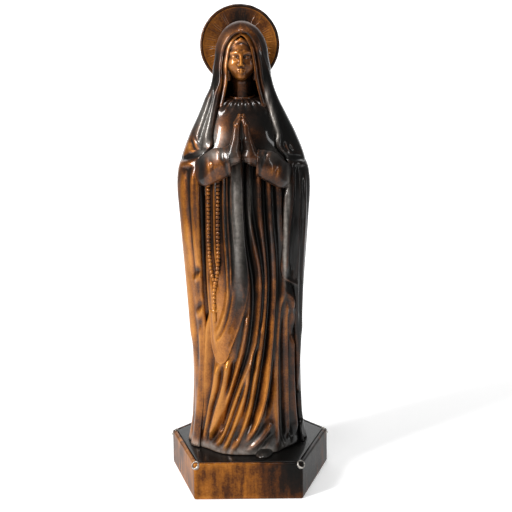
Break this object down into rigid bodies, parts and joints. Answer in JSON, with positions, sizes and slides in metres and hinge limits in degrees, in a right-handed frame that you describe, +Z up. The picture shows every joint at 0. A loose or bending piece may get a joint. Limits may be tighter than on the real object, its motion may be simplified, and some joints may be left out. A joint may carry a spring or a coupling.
{
  "type": "madonna statue",
  "caption": "Standing veiled praying madonna in patinated copper, with a disc halo and a rosary, on a low six-sided plinth.",
  "frame": {"origin": "middle of the plinth's underside, on the surface that the statue stands on", "axes": "+Z up, the figure and the plinth's broad front face look along -Y, +X is to the viewer's right"},
  "size_m": [0.1042, 0.0897, 0.297],
  "materials": {
    "plinth_copper": "brown patina rubbed through to copper, lacquered",
    "black_patina": "black patina, lacquered",
    "rivet_metal": "worn bright",
    "plaster": "raw plaster",
    "felt": "green felt",
    "steel": "zinc plated",
    "copper": "copper highlights over brown and black patina, gloss lacquer",
    "dark_copper": "dark brown and black patina with copper edges, gloss lacquer"
  },
  "bodies": {
    "root": {"plinth_shell": "plinth_copper", "plinth_top": "black_patina", "corner_rivets": "rivet_metal", "plinth_ballast": "plaster", "felt_pad": "felt", "tie_rod": "steel", "tie_rod_washer": "steel", "tie_rod_nut": "steel", "figure_core": "plaster", "gown": "copper", "overskirt_panel": "copper", "neckband": "copper", "mantle": "dark_copper", "inner_veil": "dark_copper", "head": "copper", "right_sleeve": "copper", "left_sleeve": "copper", "right_hand": "copper", "left_hand": "copper", "rosary_beads": "copper", "rosary_crucifix": "copper", "shoe": "copper", "halo_disc": "copper", "halo_rim": "black_patina", "halo_stud": "copper"}
  },
  "joints": []
}
